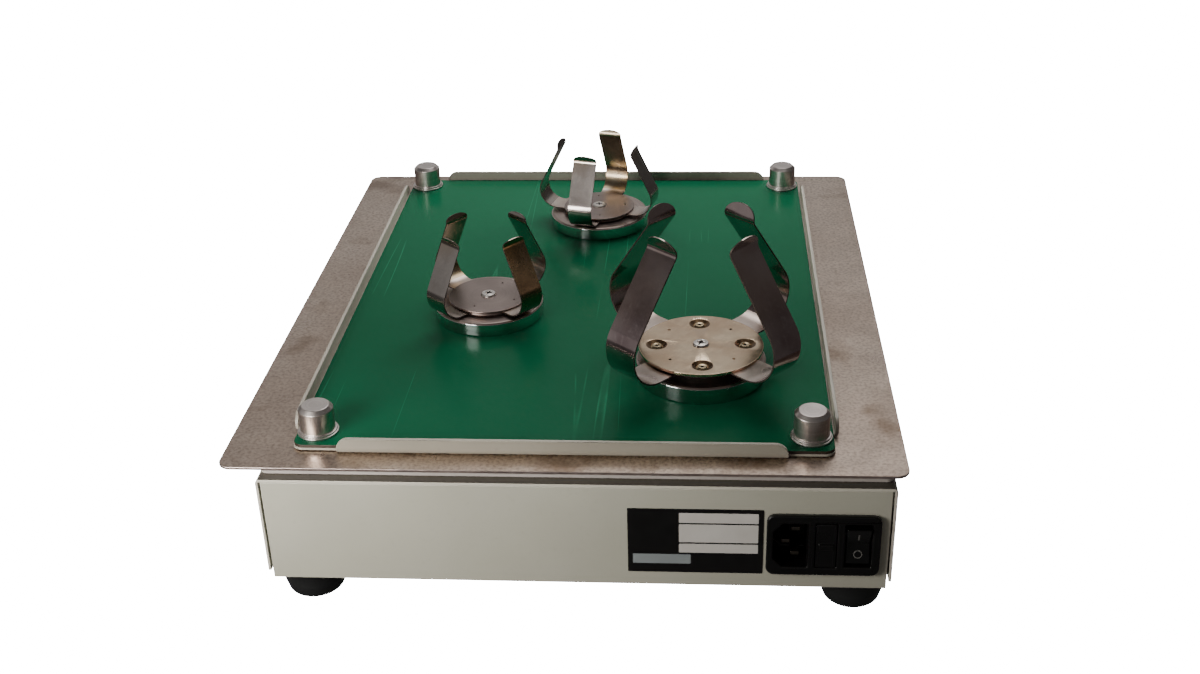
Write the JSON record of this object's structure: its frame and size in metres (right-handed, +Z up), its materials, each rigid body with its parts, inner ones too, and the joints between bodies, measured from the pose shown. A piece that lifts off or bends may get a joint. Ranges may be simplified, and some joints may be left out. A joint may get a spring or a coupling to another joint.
{
  "type": "orbital shaker",
  "caption": "Laboratory orbital platform shaker: a low painted case drives a steel tray round a small circle; magnetic spring clamps on a green sheet grip flasks.",
  "frame": {"origin": "centre of the platform at rest, at floor level", "axes": "+Z up; +Y towards the mains inlet side; -Y towards the control side"},
  "size_m": [0.3204, 0.3652, 0.1737],
  "materials": {
    "case_paint": "satin",
    "deck_paint": "satin",
    "pan_paint": "satin",
    "tray_steel": "brushed",
    "zinc_steel": "satin",
    "spring_steel": "satin",
    "green_sheet": "gloss",
    "turned_aluminium": "turned",
    "cast_aluminium": "satin",
    "magnet_chrome": "mirror",
    "contact_plate": "gloss",
    "black_plastic": "satin",
    "switch_plastic": "gloss",
    "label_film": "satin",
    "overlay_film": "matte",
    "window_film": "gloss",
    "start_green": "gloss",
    "stop_red": "gloss",
    "board_green": "gloss",
    "foot_rubber": "matte",
    "belt_rubber": "matte",
    "black_steel": "satin"
  },
  "bodies": {
    "base": {"base_plate": "case_paint", "rear_panel": "case_paint", "front_panel": "case_paint", "top_cover": "case_paint", "cover_deck": "deck_paint", "foot_front_left": "foot_rubber", "foot_front_right": "foot_rubber", "foot_rear_left": "foot_rubber", "foot_rear_right": "foot_rubber", "foot_screws": "zinc_steel", "cover_screws": "zinc_steel", "inlet_body": "black_plastic", "inlet_pins": "contact_plate", "rating_label": "label_film", "control_overlay": "overlay_film", "display_window": "window_film", "control_board": "board_green", "drive_housing": "cast_aluminium", "idler_housings": "cast_aluminium", "shaft_bearings": "zinc_steel", "motor_body": "black_steel", "motor_bracket": "zinc_steel", "drive_belt": "belt_rubber", "power_supply": "cast_aluminium"},
    "crank": {"crank_shaft": "zinc_steel", "drive_pulley": "cast_aluminium"},
    "idler_1": {"idler_crank_1": "zinc_steel"},
    "idler_2": {"idler_crank_2": "zinc_steel"},
    "idler_3": {"idler_crank_3": "zinc_steel"},
    "motor_rotor": {"motor_shaft": "zinc_steel", "motor_pulley": "cast_aluminium"},
    "platform": {"carrier_plate": "zinc_steel", "platform_hubs": "cast_aluminium", "hub_bearings": "zinc_steel", "platform_tray": "tray_steel", "pan": "pan_paint", "green_mat": "green_sheet", "corner_posts": "turned_aluminium", "post_nuts": "zinc_steel"},
    "rocker": {"rocker_switch": "switch_plastic"},
    "fuse_tray": {"fuse_drawer": "black_plastic"},
    "start_key": {"start_button": "start_green"},
    "stop_key": {"stop_button": "stop_red"},
    "knob": {"speed_knob": "black_plastic"},
    "clamp_large": {"clamp_large_magnet": "magnet_chrome", "clamp_large_strip_lower": "spring_steel", "clamp_large_strip_upper": "spring_steel", "clamp_large_disc": "spring_steel", "clamp_large_screw": "zinc_steel", "clamp_large_rivets": "zinc_steel"},
    "clamp_small_a": {"clamp_small_a_magnet": "magnet_chrome", "clamp_small_a_strip_lower": "spring_steel", "clamp_small_a_strip_upper": "spring_steel", "clamp_small_a_disc": "spring_steel", "clamp_small_a_screw": "zinc_steel"},
    "clamp_small_b": {"clamp_small_b_magnet": "magnet_chrome", "clamp_small_b_strip_lower": "spring_steel", "clamp_small_b_strip_upper": "spring_steel", "clamp_small_b_disc": "spring_steel", "clamp_small_b_screw": "zinc_steel"}
  },
  "joints": [
    {"name": "crank_spin", "type": "hinge", "parent": "base", "child": "crank", "pos_m": [-0.0057, 0.0076, 0.04], "axis": [0, 0, 1], "continuous": true},
    {"name": "platform_orbit", "type": "hinge", "parent": "crank", "child": "platform", "pos_m": [0, 0, 0.075], "axis": [0, 0, 1], "continuous": true},
    {"name": "idler_1_spin", "type": "hinge", "parent": "base", "child": "idler_1", "pos_m": [-0.1097, -0.1044, 0.04], "axis": [0, 0, 1], "continuous": true},
    {"name": "idler_2_spin", "type": "hinge", "parent": "base", "child": "idler_2", "pos_m": [0.0983, -0.1044, 0.04], "axis": [0, 0, 1], "continuous": true},
    {"name": "idler_3_spin", "type": "hinge", "parent": "base", "child": "idler_3", "pos_m": [-0.0057, 0.1296, 0.04], "axis": [0, 0, 1], "continuous": true},
    {"name": "motor_spin", "type": "hinge", "parent": "base", "child": "motor_rotor", "pos_m": [-0.0977, 0.0496, 0.06], "axis": [0, 0, 1], "continuous": true},
    {"name": "rocker_tilt", "type": "hinge", "parent": "base", "child": "rocker", "pos_m": [-0.1389, 0.175, 0.0461], "axis": [1, 0, 0], "range_deg": [0, 12]},
    {"name": "fuse_drawer_slide", "type": "slide", "parent": "base", "child": "fuse_tray", "axis": [0, 1, 0], "range_m": [0, 0.022]},
    {"name": "start_press", "type": "slide", "parent": "base", "child": "start_key", "axis": [0, 1, 0], "range_m": [0, 0.001], "stiffness_N_per_m": 300},
    {"name": "stop_press", "type": "slide", "parent": "base", "child": "stop_key", "axis": [0, 1, 0], "range_m": [0, 0.001], "stiffness_N_per_m": 300},
    {"name": "speed_turn", "type": "hinge", "parent": "base", "child": "knob", "pos_m": [0.0663, -0.1634, 0.0475], "axis": [0, 1, 0], "range_deg": [-140, 140]},
    {"name": "clamp_large_lift", "type": "slide", "parent": "platform", "child": "clamp_large", "axis": [0, 0, 1], "range_m": [0, 0.06]},
    {"name": "clamp_small_a_lift", "type": "slide", "parent": "platform", "child": "clamp_small_a", "axis": [0, 0, 1], "range_m": [0, 0.06]},
    {"name": "clamp_small_b_lift", "type": "slide", "parent": "platform", "child": "clamp_small_b", "axis": [0, 0, 1], "range_m": [0, 0.06]}
  ],
  "couplings": [
    {"joint": "platform_orbit", "follows": "crank_spin", "ratio": -1},
    {"joint": "idler_1_spin", "follows": "crank_spin", "ratio": 1},
    {"joint": "idler_2_spin", "follows": "crank_spin", "ratio": 1},
    {"joint": "idler_3_spin", "follows": "crank_spin", "ratio": 1},
    {"joint": "motor_spin", "follows": "crank_spin", "ratio": 3}
  ]
}
